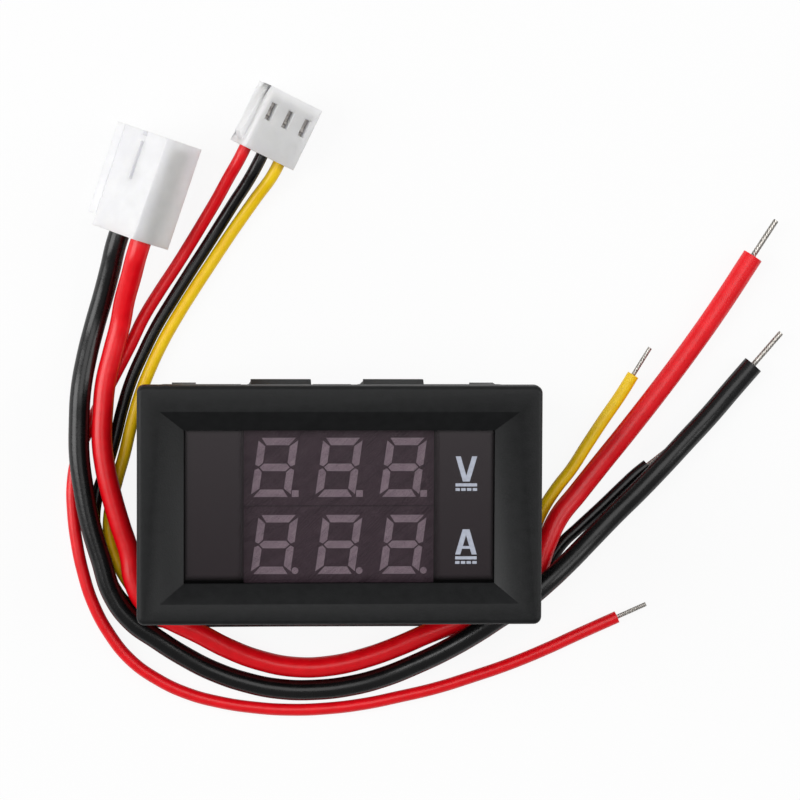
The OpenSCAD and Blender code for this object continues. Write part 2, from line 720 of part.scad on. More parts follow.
// Puts a plug, built along +Z from its wire end, where it lies
module lay_plug(at, heading, roll) {
    translate(at)
        rotate([0, 0, -heading]) rotate([0, -roll, 0]) rotate([-90, 0, 0])
            children();
}

module load_plug() {
    color([0.93, 0.93, 0.92])
    lay_plug(load_plug_at, load_plug_heading, load_plug_roll)
        difference() {
            union() {
                linear_extrude(load_plug_l) rounded_rect(load_plug_w, load_plug_t, plug_edge_r / 2);
                // Side rib, flush with the key face
                translate([-load_plug_w / 2 - load_rib, -load_plug_t / 2, load_rib_foot])
                    cube([load_rib + eps, load_plug_t / 2, load_plug_l - load_rib_foot]);
                // Latch arm on the back face
                translate([-load_latch_w / 2, load_plug_t / 2 + load_latch_t, load_seat])
                    rotate([90, 0, 90])
                        linear_extrude(load_latch_w)
                            polygon([
                                [-load_latch_t - eps, 0], [0, 1.2], [0, load_plug_l - load_seat - 1],
                                [-load_latch_t / 2, load_plug_l - load_seat],
                                [-load_latch_t - eps, load_plug_l - load_seat]
                            ]);
            }
            for (x = [-1, 1])
                translate([x * load_pitch / 2, 0, 0]) {
                    translate([0, 0, -1]) cylinder(r = load_bore_r, h = load_seat + 2);
                    translate([0, 0, load_seat]) block([load_cavity, load_cavity, load_plug_l]);
                }
            // Groove between the two chambers, short of the mouth
            translate([0, -load_plug_t / 2, load_plug_l - load_slot_top - load_slot_l])
                block([load_slot_w, 2, load_slot_l]);
            // Key notch in the edge of the mouth
            translate([0, -load_plug_t / 2, load_plug_l - load_notch[1]])
                block([load_notch[0], 3, load_notch[1] + 1]);
            // Shallow step along the side
            translate([load_plug_w / 2, load_plug_t / 2, -1])
                block([0.5, load_plug_t / 2, load_plug_l + 2]);
        }
}

// Box socket: bore for the header's pin, seated on the cavity's floor
module load_plug_contacts() {
    color([0.8, 0.8, 0.78])
    lay_plug(load_plug_at, load_plug_heading, load_plug_roll)
        for (x = [-1, 1])
            translate([x * load_pitch / 2, 0, load_seat])
                difference() {
                    block([load_contact, load_contact, load_plug_l - load_seat - 1]);
                    translate([0, 0, 3]) block([1.3, 1.3, load_plug_l]);
                }
}

module supply_plug() {
    color([0.93, 0.93, 0.92])
    lay_plug(supply_plug_at, supply_plug_heading, supply_plug_roll)
        difference() {
            union() {
                linear_extrude(supply_plug_l) rounded_rect(supply_plug_w, supply_plug_t, plug_edge_r);
                // Tapered keying rib on one narrow side
                mirror([1, 0, 0])
                    translate([supply_plug_w / 2 - eps, 0.4, 0])
                        rotate([90, 0, 0])
                            linear_extrude(1.6)
                                polygon([
                                    [0, 0.6], [supply_rib, 1.4], [supply_rib * 0.6, supply_plug_l - 1],
                                    [0, supply_plug_l]
                                ]);
            }
            for (x = [-1:1])
                translate([x * supply_pitch, 0, 0]) {
                    translate([0, 0, -1]) cylinder(r = supply_bore_r, h = supply_seat + 2);
                    translate([0, 0, supply_seat]) block([supply_cavity_w, supply_cavity_t, supply_plug_l]);
                    // Window over the contact's lance
                    translate([0, -supply_plug_t / 2, supply_plug_l - supply_window_top - supply_window[1]])
                        block([supply_window[0], supply_plug_t, supply_window[1]]);
                }
        }
}

module supply_plug_contacts() {
    color([0.8, 0.8, 0.78])
    lay_plug(supply_plug_at, supply_plug_heading, supply_plug_roll)
        for (x = [-1:1])
            translate([x * supply_pitch, 0, supply_seat]) {
                difference() {
                    block([supply_contact_w, supply_contact_t, supply_plug_l - supply_seat - 0.8]);
                    translate([0, 0, 2]) block([0.8, 1.4, supply_plug_l]);
                    // Hollow behind the sprung lance
                    translate([0, -supply_contact_t / 2, lance_root - supply_window[1] / 2])
                        block([supply_lance[0] + 0.1, 0.9, supply_window[1] / 2]);
                }
                // Lance, rooted on the mouth's side and leaning out into the window
                translate([-supply_lance[0] / 2, -supply_contact_t / 2, lance_root])
                    rotate([90, 0, 90])
                        linear_extrude(supply_lance[0])
                            polygon([
                                [0.1, 0.35], [-supply_lance[1], -0.95], [0.13 - supply_lance[1], -1.02],
                                [0.1, 0]
                            ]);
            }
}

// ---- Leads ----

function unit(v) = v / norm(v);
function route_way(route, i) =
    unit(route[min(i + 1, len(route) - 1)] - route[max(i - 1, 0)]);

// One ring of a lead: points round the route, square to its direction
function ring(route, i, r) =
    let (way = route_way(route, i), side = unit(cross(way, [0, 0, 1])), up = cross(side, way))
    [for (k = [0:lead_sides - 1])
        let (a = 360 * (k + 0.5) / lead_sides)
            route[i] + r * cos(a) * side + r * sin(a) * up];

module lead(route, d) {
    n = lead_sides;
    last = len(route) - 1;
    points = [for (i = [0:last]) each ring(route, i, d / 2)];
    sides = [for (i = [0:last - 1], k = [0:n - 1])
        let (a = i * n + k, b = i * n + (k + 1) % n)
            each [[a, b, b + n], [a, b + n, a + n]]];
    ends = [[for (k = [0:n - 1]) n - 1 - k], [for (k = [0:n - 1]) last * n + k]];
    polyhedron(points = points, faces = concat(sides, ends));
}

// Bare strands: a rod on from the lead's end face
module strands(route, d, l) {
    last = len(route) - 1;
    way = route_way(route, last);
    translate(route[last])
        rotate([0, acos(way[2]), atan2(way[1], way[0])])
            cylinder(d = d, h = l, $fn = 24);
}

red = [0.86, 0.05, 0.1];
black = [0.07, 0.07, 0.08];
yellow = [0.96, 0.76, 0.08];
tin = [0.8, 0.8, 0.78];

module load_lead_black() { color(black) lead(load_black_route, load_lead_d); }
module load_lead_red() { color(red) lead(load_red_route, load_lead_d); }
module supply_lead_red() { color(red) lead(supply_red_route, supply_lead_d); }
module supply_lead_black() { color(black) lead(supply_black_route, supply_lead_d); }
module sense_lead_yellow() { color(yellow) lead(sense_yellow_route, supply_lead_d); }
module load_strands_black() { color(tin) strands(load_black_route, load_strands_d, load_strands_l); }
module load_strands_red() { color(tin) strands(load_red_route, load_strands_d, load_strands_l); }
module supply_strands_red() { color(tin) strands(supply_red_route, supply_strands_d, supply_strands_l); }
module supply_strands_black() { color(tin) strands(supply_black_route, supply_strands_d, tucked_strands_l); }
module sense_strands_yellow() { color(tin) strands(sense_yellow_route, supply_strands_d, supply_strands_l); }

// ---- Nodes ----

housing();
window_filter();
display_case(1);  // volt_display_case
digit(1, -1);  // volt_digit_left
digit(1, 0);  // volt_digit_middle
digit(1, 1);  // volt_digit_right
display_case(-1);  // amp_display_case
digit(-1, -1);  // amp_digit_left
digit(-1, 0);  // amp_digit_middle
digit(-1, 1);  // amp_digit_right
display_pins();
main_board();
load_header();
load_header_pins();
supply_header();
supply_header_pins();
shunt();
controller_chip();
amplifier_chip();
regulator();
component_leads();
resistors();
capacitors();
diode();
trimmer_base(1);  // volt_trimmer_base
trimmer_rotor(1);  // volt_trimmer_rotor
trimmer_base(-1);  // amp_trimmer_base
trimmer_rotor(-1);  // amp_trimmer_rotor
load_plug();
load_plug_contacts();
supply_plug();
supply_plug_contacts();
load_lead_black();
load_lead_red();
supply_lead_red();
supply_lead_black();
sense_lead_yellow();
load_strands_black();
load_strands_red();
supply_strands_red();
supply_strands_black();
sense_strands_yellow();
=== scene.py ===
import bpy, bmesh, math
from mathutils import Matrix, Vector


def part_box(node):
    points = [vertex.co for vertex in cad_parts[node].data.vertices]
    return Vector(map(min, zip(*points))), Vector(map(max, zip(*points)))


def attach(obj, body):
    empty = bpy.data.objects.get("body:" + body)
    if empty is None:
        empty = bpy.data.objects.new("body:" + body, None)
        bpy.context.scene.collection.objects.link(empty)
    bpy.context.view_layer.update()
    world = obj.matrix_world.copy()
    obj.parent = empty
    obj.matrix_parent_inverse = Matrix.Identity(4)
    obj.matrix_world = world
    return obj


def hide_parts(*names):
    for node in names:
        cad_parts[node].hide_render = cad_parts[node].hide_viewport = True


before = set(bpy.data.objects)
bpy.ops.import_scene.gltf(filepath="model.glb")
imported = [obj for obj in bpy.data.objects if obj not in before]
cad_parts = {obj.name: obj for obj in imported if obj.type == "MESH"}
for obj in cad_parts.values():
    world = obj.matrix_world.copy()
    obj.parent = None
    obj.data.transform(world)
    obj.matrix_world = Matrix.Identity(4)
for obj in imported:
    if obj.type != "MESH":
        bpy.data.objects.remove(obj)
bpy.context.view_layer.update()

# ---- Camera ----
# A long lens half a metre above the bench, leaning a little towards the top
# and the left, so that the clips show over the bezel's upper edge.
eye = Vector((-0.0262, 0.0455, 0.521))
aim = Vector((0.00702, 0.01252, 0.021))
look = (aim - eye).normalized()
across = look.cross(Vector((0, 1, 0))).normalized()
upward = across.cross(look)
roll = math.radians(0.25)
cam_x = across * math.cos(roll) + upward * math.sin(roll)
cam_y = upward * math.cos(roll) - across * math.sin(roll)
camera = bpy.data.objects.new("camera", bpy.data.cameras.new("camera"))
camera.data.lens = 191.4
camera.data.sensor_width = 36
camera.data.clip_start = 0.01
camera.data.clip_end = 20
camera.matrix_world = Matrix.Translation(eye) @ Matrix((cam_x, cam_y, -look)).transposed().to_4x4()
bpy.context.scene.collection.objects.link(camera)
bpy.context.scene.camera = camera
bpy.context.scene.view_settings.view_transform = "Standard"


# ---- Insulation of the leads ----
# Soft PVC over stranded copper, extruded and satin smooth, with faint flow
# marks. Two thick load leads, two thin supply leads and a thin sense lead.
def node(tree, kind, values=None, **settings):
    made = tree.nodes.new(kind)
    for name, value in settings.items():
        setattr(made, name, value)
    for name, value in (values or {}).items():
        made.inputs[name].default_value = value
    return made


def srgb(red, green, blue):
    def linear(c):
        c = c / 255
        return c / 12.92 if c < 0.04045 else ((c + 0.055) / 1.055) ** 2.4
    return (linear(red), linear(green), linear(blue), 1)


def new_finish(name, values):
    finish = bpy.data.materials.new(name)
    finish.use_nodes = True
    tree = finish.node_tree
    shader = tree.nodes["Principled BSDF"]
    for socket, value in values.items():
        shader.inputs[socket].default_value = value
    place = tree.nodes.new("ShaderNodeTexCoord")
    return finish, tree, shader, place.outputs["Object"]


def mottle(tree, shader, place, dark, light, scale, detail=3, stretch=(1, 1, 1)):
    mapping = node(tree, "ShaderNodeMapping", {"Scale": stretch})
    noise = node(tree, "ShaderNodeTexNoise", {"Scale": scale, "Detail": detail})
    ramp = tree.nodes.new("ShaderNodeValToRGB")
    ramp.color_ramp.elements[0].position = 0.3
    ramp.color_ramp.elements[1].position = 0.7
    ramp.color_ramp.elements[0].color = dark
    ramp.color_ramp.elements[1].color = light
    tree.links.new(place, mapping.inputs["Vector"])
    tree.links.new(mapping.outputs[0], noise.inputs["Vector"])
    tree.links.new(noise.outputs["Fac"], ramp.inputs["Fac"])
    tree.links.new(ramp.outputs["Color"], shader.inputs["Base Color"])
    return noise


def grain(tree, shader, place, scale, depth, strength=1.0):
    noise = node(tree, "ShaderNodeTexNoise", {"Scale": scale, "Detail": 2})
    bump = node(tree, "ShaderNodeBump", {"Strength": strength, "Distance": depth})
    tree.links.new(place, noise.inputs["Vector"])
    tree.links.new(noise.outputs["Fac"], bump.inputs["Height"])
    tree.links.new(bump.outputs["Normal"], shader.inputs["Normal"])


def rough_patches(tree, shader, source, low, high):
    spread = node(tree, "ShaderNodeMapRange", {"To Min": low, "To Max": high})
    tree.links.new(source.outputs["Fac"], spread.inputs["Value"])
    tree.links.new(spread.outputs["Result"], shader.inputs["Roughness"])


def pvc(name, dark, light, low, high):
    finish, tree, shader, place = new_finish(name, {"Specular IOR Level": 0.5})
    flow = mottle(tree, shader, place, dark, light, 700)
    rough_patches(tree, shader, flow, low, high)
    grain(tree, shader, place, 2500, 0.00002, 0.5)
    return finish


red_pvc = pvc("red_pvc", srgb(228, 6, 20), srgb(242, 10, 26), 0.25, 0.36)
black_pvc = pvc("black_pvc", srgb(7, 7, 8), srgb(12, 12, 13), 0.22, 0.32)
yellow_pvc = pvc("yellow_pvc", srgb(252, 202, 6), srgb(255, 214, 12), 0.28, 0.4)

# The middle line of each lead in millimetres, from its seat in the plug to
# the end of the insulation.
routes = {
    "load_lead_black": (
        (-25.04, 34.48, 3.62), (-26.47, 30.21, 3.62), (-27.1, 27.5, 2.9), (-28, 24, 2.05),
        (-29, 20.5, 1.6), (-30.01, 16.49, 2.2), (-30.71, 12.49, 2.9), (-30.93, 8.48, 2.9),
        (-30.9, 4.46, 2.9), (-30.4, 0.46, 2.9), (-29.63, -3.59, 2.9), (-28.29, -8.14, 2.9),
        (-26.79, -12.67, 2.89), (-24.47, -15.81, 2.89), (-21.63, -17.92, 2.49), (-18, -20.32, 1.79),
        (-14.51, -22.16, 1.4), (-10.49, -23.58, 1.3), (-6.5, -24.39, 1.3), (-2.01, -24.54, 1.31),
        (2.43, -24.02, 1.42), (6.35, -22.93, 1.93), (10.26, -21.24, 2.85), (14.12, -19.23, 4),
        (17.57, -17.08, 5.11), (20.16, -15.29, 5.66), (22.91, -13.52, 5.74), (25.98, -11.08, 5.33),
        (28.9, -8.51, 4.42), (31.8, -5.7, 3.51), (34.75, -2.75, 3), (37.73, 0.17, 2.9),
        (40.73, 3.26, 2.7), (43.67, 6.32, 2.1), (46.6, 9.38, 1.5), (49.36, 12.58, 1.3),
        (51.96, 15.58, 1.3)),
    "load_lead_red": (
        (-22.46, 33.61, 6.5), (-23.88, 29.35, 6.5), (-24.62, 26.45, 5.2), (-25.41, 23.5, 3.95),
        (-25.95, 20.5, 3.1), (-26.85, 17, 2.9), (-27.7, 13.5, 2.9), (-28.05, 10, 2.9),
        (-28.16, 6.5, 2.9), (-27.75, 3.03, 2.9), (-26.97, -0.43, 2.9), (-25.94, -4, 2.9),
        (-24.82, -7.51, 2.9), (-24.31, -10.7, 2.9), (-23.32, -13, 2.91), (-21.56, -14.74, 2.91),
        (-19.28, -15.87, 3.01), (-16.32, -17.34, 2.61), (-12.89, -19.21, 1.9), (-8.92, -20.81, 1.4),
        (-4.47, -21.7, 1.3), (-0.05, -21.54, 1.4), (4.34, -20.5, 1.69), (8.28, -19.02, 2.19),
        (11.77, -17.44, 2.78), (15.09, -16.25, 2.85), (18.29, -15.55, 2.85), (21.19, -14.87, 2.87),
        (23.5, -13.39, 2.88), (24.9, -11.19, 2.88), (25.6, -8.6, 2.79), (26.5, -6, 2.69),
        (27.9, -3.13, 2.3), (30.31, -0.22, 1.6), (33.06, 3.2, 1.3), (36.44, 7.42, 1.3),
        (40.35, 12.46, 1.3), (44, 17.37, 1.3), (47.72, 22.7, 1.3), (51.8, 29, 1.3)),
    "supply_lead_red": (
        (-10.11, 43.63, 4.64), (-11.47, 40.84, 4.64), (-12.83, 38.37, 3.55), (-14.15, 35.86, 2.45),
        (-15.6, 33.35, 1.5), (-17.25, 30.57, 0.95), (-19.08, 27.62, 0.8), (-21.1, 24.55, 0.8),
        (-23.06, 21.33, 0.8), (-24.7, 17.9, 0.8), (-26.5, 14.4, 0.8), (-28.3, 10.95, 0.8),
        (-29.95, 7.35, 0.8), (-31.2, 4.1, 0.8), (-31.75, 0.8, 0.8), (-31.7, -2.46, 0.8),
        (-31.3, -5.98, 0.8), (-30.48, -9.97, 0.8), (-29.22, -13.87, 0.8), (-27.33, -17.45, 0.8),
        (-24.73, -20.74, 0.8), (-21.33, -23.24, 0.8), (-17.62, -25, 0.8), (-13.71, -26.08, 0.8),
        (-9.47, -26.76, 0.8), (-5, -27.06, 0.8), (-0.52, -26.92, 0.8), (3.95, -26.4, 0.8),
        (8.43, -25.5, 0.8), (12.93, -24.46, 0.8), (17.46, -23.06, 0.8), (21.95, -21.53, 0.8),
        (26.38, -19.73, 0.8), (30.86, -17.69, 0.8), (35.36, -15.69, 0.8)),
    "supply_lead_black": (
        (-8.06, 42.63, 3.62), (-9.42, 39.84, 3.62), (-10.6, 37.7, 2.75), (-12, 35.5, 1.85),
        (-13.41, 33.2, 1.15), (-15.21, 30.31, 0.87), (-17.33, 27.01, 0.8), (-19.45, 23.62, 0.8),
        (-21.46, 20.28, 0.8), (-23.18, 16.83, 0.8), (-24.62, 13.51, 0.8), (-25.65, 10.19, 0.8),
        (-26.57, 6.48, 0.8), (-27.58, 3.01, 0.8), (-28.76, -0.61, 0.8), (-29.08, -3.97, 0.8),
        (-28.49, -7.45, 0.8), (-27.2, -10.79, 0.8), (-25.25, -13.76, 0.8), (-22.73, -15.64, 0.8),
        (-19.57, -16.18, 0.79), (-15.04, -16.04, 0.79), (-10.52, -16.02, 0.8), (-6.01, -16.01, 0.8),
        (-1.5, -16.01, 0.8), (3, -16.01, 0.8), (7.5, -16.01, 0.79), (12.01, -16.01, 0.78),
        (16.52, -16.02, 0.78), (20.43, -15.93, 0.79), (22.96, -14.96, 0.79), (24.95, -13.25, 0.8),
        (26.13, -11.03, 0.8), (27.11, -8.71, 0.8), (28.43, -6.63, 0.8), (30.6, -4.55, 0.8),
        (33.4, -1.95, 0.8), (36.2, 0.75, 0.8), (37.6, 2.05, 0.8), (39, 3.15, 0.8)),
    "sense_lead_yellow": (
        (-6.01, 41.63, 2.6), (-7.36, 38.84, 2.6), (-9.45, 35.87, 1.4), (-12.45, 31.54, 0.8),
        (-14.79, 28, 0.8), (-16.96, 24.67, 0.8), (-19.02, 21.34, 0.8), (-20.84, 18.08, 0.8),
        (-22.35, 14.83, 0.8), (-23.59, 11.6, 0.8), (-24.56, 8.19, 0.8), (-25.4, 4.6, 0.8),
        (-26.36, 1.2, 0.8), (-27.16, -2.19, 0.8), (-27.25, -5.48, 0.8), (-26.35, -8.57, 0.8),
        (-24.94, -11.24, 0.8), (-23.3, -13.29, 0.8), (-20.85, -14.14, 0.8), (-15.97, -14.07, 0.8),
        (-10.98, -14.08, 0.8), (-5.99, -14.09, 0.8), (-1, -14.09, 0.8), (4, -14.1, 0.8),
        (9, -14.09, 0.8), (13.99, -14.09, 0.8), (18.49, -14.19, 0.8), (20.88, -14.07, 0.8),
        (22.46, -13.35, 0.8), (23.58, -11.97, 0.8), (24.09, -10.09, 0.8), (24.39, -7.59, 0.8),
        (25, -5.1, 0.8), (26, -2.55, 0.8), (27.56, 0.03, 0.8), (29.6, 2.69, 0.8), (31.44, 5.58, 0.8),
        (33.45, 8.65, 0.8), (35.58, 11.76, 0.8), (37.15, 14.3, 0.8)),
}
thick_lead, thin_lead = 0.00255, 0.0015
lead_finish = {
    "load_lead_black": black_pvc, "load_lead_red": red_pvc, "supply_lead_red": red_pvc,
    "supply_lead_black": black_pvc, "sense_lead_yellow": yellow_pvc,
}


def lay_lead(cad_name):
    points = [Vector(p) / 1000 for p in routes[cad_name]]
    across_lead = thick_lead if cad_name.startswith("load") else thin_lead
    line = bpy.data.curves.new(cad_name + "_insulation", "CURVE")
    line.dimensions = "3D"
    line.bevel_depth = across_lead / 2
    line.bevel_resolution = 8
    line.resolution_u = 8
    line.use_fill_caps = True
    run = line.splines.new("BEZIER")
    run.bezier_points.add(len(points) - 1)
    for knot, point in zip(run.bezier_points, points):
        knot.co = point
        knot.handle_left_type = knot.handle_right_type = "AUTO"
    lead = bpy.data.objects.new(cad_name + "_insulation", line)
    bpy.context.scene.collection.objects.link(lead)
    line.materials.append(lead_finish[cad_name])
    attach(lead, "meter")
    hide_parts(cad_name)
    return lead, points, across_lead


leads = {name: lay_lead(name) for name in routes}


# ---- Bare ends ----
# Tinned copper strands, twisted together by hand after stripping. Each end
# shows six strands wound round a core.
def tinned(name, low=0.22, high=0.4):
    finish, tree, shader, place = new_finish(name, {"Metallic": 1.0})
    tone = mottle(tree, shader, place, srgb(168, 164, 158), srgb(214, 210, 204), 3000)
    rough_patches(tree, shader, tone, low, high)
    return finish


tinned_copper = tinned("tinned_copper")
strand_tree = bpy.data.node_groups.new("twisted_strands", "GeometryNodeTree")
for socket, value in (("Length", 0.005), ("Bundle Radius", 0.00024),
                      ("Strand Radius", 0.00012), ("Turns", 2.0)):
    made = strand_tree.interface.new_socket(socket, in_out="INPUT", socket_type="NodeSocketFloat")
    made.default_value = value
strand_tree.interface.new_socket("Geometry", in_out="OUTPUT", socket_type="NodeSocketGeometry")
given = strand_tree.nodes.new("NodeGroupInput")
result = strand_tree.nodes.new("NodeGroupOutput")
helix = node(strand_tree, "GeometryNodeCurveSpiral", {"Resolution": 28})
ring = node(strand_tree, "GeometryNodeMeshCircle", {"Vertices": 6, "Radius": 0.000001})
around = node(strand_tree, "GeometryNodeInstanceOnPoints")
turn = node(strand_tree, "ShaderNodeMath", {1: math.pi / 3}, operation="MULTIPLY")
index = strand_tree.nodes.new("GeometryNodeInputIndex")
spin = strand_tree.nodes.new("ShaderNodeCombineXYZ")
core_top = strand_tree.nodes.new("ShaderNodeCombineXYZ")
core = strand_tree.nodes.new("GeometryNodeCurvePrimitiveLine")
both = strand_tree.nodes.new("GeometryNodeJoinGeometry")
section = node(strand_tree, "GeometryNodeCurvePrimitiveCircle", {"Resolution": 8})
sweep = node(strand_tree, "GeometryNodeCurveToMesh", {"Fill Caps": True})
real = strand_tree.nodes.new("GeometryNodeRealizeInstances")
real_last = strand_tree.nodes.new("GeometryNodeRealizeInstances")
coat = strand_tree.nodes.new("GeometryNodeSetMaterial")
coat.inputs["Material"].default_value = tinned_copper
join = strand_tree.links.new
join(given.outputs["Length"], helix.inputs["Height"])
join(given.outputs["Turns"], helix.inputs["Rotations"])
join(given.outputs["Bundle Radius"], helix.inputs["Start Radius"])
join(given.outputs["Bundle Radius"], helix.inputs["End Radius"])
join(ring.outputs["Mesh"], around.inputs["Points"])
join(helix.outputs["Curve"], around.inputs["Instance"])
join(index.outputs["Index"], turn.inputs[0])
join(turn.outputs[0], spin.inputs["Z"])
join(spin.outputs[0], around.inputs["Rotation"])
join(given.outputs["Length"], core_top.inputs["Z"])
join(core_top.outputs[0], core.inputs["End"])
join(around.outputs["Instances"], real.inputs["Geometry"])
join(real.outputs["Geometry"], both.inputs["Geometry"])
join(core.outputs["Curve"], both.inputs["Geometry"])
join(given.outputs["Strand Radius"], section.inputs["Radius"])
join(both.outputs["Geometry"], sweep.inputs["Curve"])
join(section.outputs["Curve"], sweep.inputs["Profile Curve"])
join(sweep.outputs["Mesh"], real_last.inputs["Geometry"])
join(real_last.outputs["Geometry"], coat.inputs["Geometry"])
join(coat.outputs["Geometry"], result.inputs["Geometry"])


def grown(tree, name, values):
    holder = bpy.data.objects.new(name + "_seed", bpy.data.meshes.new(name + "_seed"))
    bpy.context.scene.collection.objects.link(holder)
    grow = holder.modifiers.new("grow", "NODES")
    grow.node_group = tree
    for item in tree.interface.items_tree:
        if item.item_type == "SOCKET" and item.in_out == "INPUT" and item.name in values:
            grow[item.identifier] = values[item.name]
    bpy.context.view_layer.update()
    seen = holder.evaluated_get(bpy.context.evaluated_depsgraph_get())
    mesh = bpy.data.meshes.new_from_object(seen)
    bpy.data.objects.remove(holder)
    piece = bpy.data.objects.new(name, mesh)
    bpy.context.scene.collection.objects.link(piece)
    return piece


# Name of each bare end, its stripped length and the width of its bundle.
bundle_widths_per_turn = 3.5
bare_ends = {
    "load_lead_black": ("load_strands_black", 0.0052, 0.0007),
    "load_lead_red": ("load_strands_red", 0.0052, 0.0007),
    "supply_lead_red": ("supply_strands_red", 0.0039, 0.00055),
    "supply_lead_black": ("supply_strands_black", 0.003, 0.00055),
    "sense_lead_yellow": ("sense_strands_yellow", 0.0039, 0.00055),
}
twists = {}
for lead_name, (cad_name, bare_length, bundle) in bare_ends.items():
    points = leads[lead_name][1]
    way = (points[-1] - points[-2]).normalized()
    twist = grown(strand_tree, cad_name + "_twist", {
        "Length": bare_length, "Bundle Radius": bundle / 3, "Strand Radius": bundle / 6,
        "Turns": bare_length / bundle / bundle_widths_per_turn})
    twist.data.transform(Matrix.Translation(points[-1]) @ way.to_track_quat("Z", "Y").to_matrix().to_4x4())
    twist.data.polygons.foreach_set("use_smooth", [True] * len(twist.data.polygons))
    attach(twist, "meter")
    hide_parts(cad_name)
    twists[lead_name] = twist


# ---- Housing ----
# One black ABS moulding: a bezel with a sloped recess, an open-backed body,
# four snap clips cut free by slots, and small guide ribs near the corners.
weld_gap = 0.000002
housing_edge = 0.00012


def softened(cad_name, name, radius, finish):
    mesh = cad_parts[cad_name].data.copy()
    mesh.name = name
    mesh.materials.clear()
    mesh.materials.append(finish)
    work = bmesh.new()
    work.from_mesh(mesh)
    bmesh.ops.remove_doubles(work, verts=work.verts, dist=weld_gap)
    bmesh.ops.dissolve_limit(work, angle_limit=math.radians(1), verts=work.verts, edges=work.edges)
    work.to_mesh(mesh)
    work.free()
    mesh.polygons.foreach_set("use_smooth", [True] * len(mesh.polygons))
    piece = bpy.data.objects.new(name, mesh)
    bpy.context.scene.collection.objects.link(piece)
    edge = piece.modifiers.new("edge", "BEVEL")
    edge.width = radius
    edge.segments = 2
    edge.limit_method = "ANGLE"
    edge.angle_limit = math.radians(33)
    edge.harden_normals = True
    bpy.context.view_layer.update()
    seen = piece.evaluated_get(bpy.context.evaluated_depsgraph_get())
    finished = bpy.data.meshes.new_from_object(seen)
    piece.modifiers.clear()
    piece.data = finished
    for poly in finished.polygons:
        poly.material_index = 0
    return piece


black_abs, tree, shader, place = new_finish("black_abs", {"Specular IOR Level": 0.3})
cloud = mottle(tree, shader, place, srgb(15, 16, 17), srgb(22, 23, 24), 900, 4)
rough_patches(tree, shader, cloud, 0.42, 0.55)
grain(tree, shader, place, 4200, 0.00003, 0.6)
shell = softened("housing", "housing_shell", housing_edge, black_abs)
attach(shell, "meter")
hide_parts("housing")

# ---- Window filter and unit marks ----
# Smoky tinted acrylic sheet held behind the lip, with pale unit marks printed
# on its face: V over A, each with the line and dashes of direct current.
tinted_filter, tree, shader, place = new_finish("tinted_filter", {"Roughness": 0.2, "IOR": 1.49})
position = tree.nodes.new("ShaderNodeSeparateXYZ")
tree.links.new(place, position.inputs[0])


def from_middle(axis, start, end, low, high):
    step = node(tree, "ShaderNodeMath", operation="ABSOLUTE")
    ramp = node(tree, "ShaderNodeMapRange", {
        "From Min": start, "From Max": end, "To Min": low, "To Max": high})
    tree.links.new(position.outputs[axis], step.inputs[0])
    tree.links.new(step.outputs[0], ramp.inputs["Value"])
    return ramp.outputs["Result"]


# The sheet is nearly opaque left and right of the displays. A thin dark line of
# painted shade runs round it at the lip, standing for the shadow the lip casts
# on the sheet, and the gloss is turned down there too. The mix holds its
# colours at inputs 6 and 7.
tree.links.new(from_middle("X", 0.0113, 0.0121, 0.4, 0.97), shader.inputs["Alpha"])
# Painted shade mask: 1 in a thin band along the lip, where the sheet is darkened as if shaded.
painted_lip_shade = node(tree, "ShaderNodeMath", operation="MAXIMUM")
tree.links.new(from_middle("X", 0.0179, 0.0184, 0, 1), painted_lip_shade.inputs[0])
tree.links.new(from_middle("Y", 0.0084, 0.0091, 0, 1), painted_lip_shade.inputs[1])
smoke_and_painted_shade = node(tree, "ShaderNodeMix", data_type="RGBA")
# Input 6 is the sheet's own smoky tint; input 7 is near black, the painted shade under the lip.
smoke_and_painted_shade.inputs[6].default_value = srgb(30, 20, 25)
smoke_and_painted_shade.inputs[7].default_value = srgb(4, 4, 4)
gloss = node(tree, "ShaderNodeMapRange", {"To Min": 0.42, "To Max": 0.03})
tree.links.new(painted_lip_shade.outputs[0], smoke_and_painted_shade.inputs[0])
tree.links.new(painted_lip_shade.outputs[0], gloss.inputs["Value"])
tree.links.new(smoke_and_painted_shade.outputs[2], shader.inputs["Base Color"])
tree.links.new(gloss.outputs["Result"], shader.inputs["Specular IOR Level"])
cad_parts["window_filter"].data.materials.clear()
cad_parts["window_filter"].data.materials.append(tinted_filter)

printed_mark, tree, shader, place = new_finish("printed_mark", {"Roughness": 0.5})
mottle(tree, shader, place, srgb(165, 170, 184), srgb(182, 188, 202), 2500)
mark_x, mark_w, mark_h, mark_stroke, mark_tip = 0.0151, 0.00257, 0.003, 0.00061, 0.00041
mark_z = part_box("window_filter")[1][2]
print_low, print_high = 0.00001, 0.00004


def mark_mesh(name, outlines):
    work = bmesh.new()
    for outline in outlines:
        corners = [work.verts.new((x, y, mark_z + print_low)) for x, y in outline]
        tops = [work.verts.new((x, y, mark_z + print_high)) for x, y in outline]
        count = len(outline)
        work.faces.new(tops)
        work.faces.new(corners[::-1])
        for i in range(count):
            work.faces.new((corners[i], corners[(i + 1) % count], tops[(i + 1) % count], tops[i]))
    bmesh.ops.recalc_face_normals(work, faces=work.faces)
    mesh = bpy.data.meshes.new(name)
    work.to_mesh(mesh)
    work.free()
    mesh.materials.append(printed_mark)
    piece = bpy.data.objects.new(name, mesh)
    bpy.context.scene.collection.objects.link(piece)
    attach(piece, "meter")


def slab(x0, y0, x1, y1):
    return ((x0, y0), (x1, y0), (x1, y1), (x0, y1))


line_depth, dash, dash_top, dash_foot = 0.00037, 0.00052, 0.00057, 0.0009


def direct_current_sign(low_y):
    rows = [slab(mark_x - mark_w / 2, low_y - line_depth, mark_x + mark_w / 2, low_y)]
    step = (mark_w - dash) / 3
    for i in range(4):
        left = mark_x - mark_w / 2 + i * step
        rows.append(slab(left, low_y - dash_foot, left + dash, low_y - dash_top))
    return rows


inner_reach = mark_h * (mark_w / 2 - mark_stroke) / (mark_w / 2 - mark_tip)


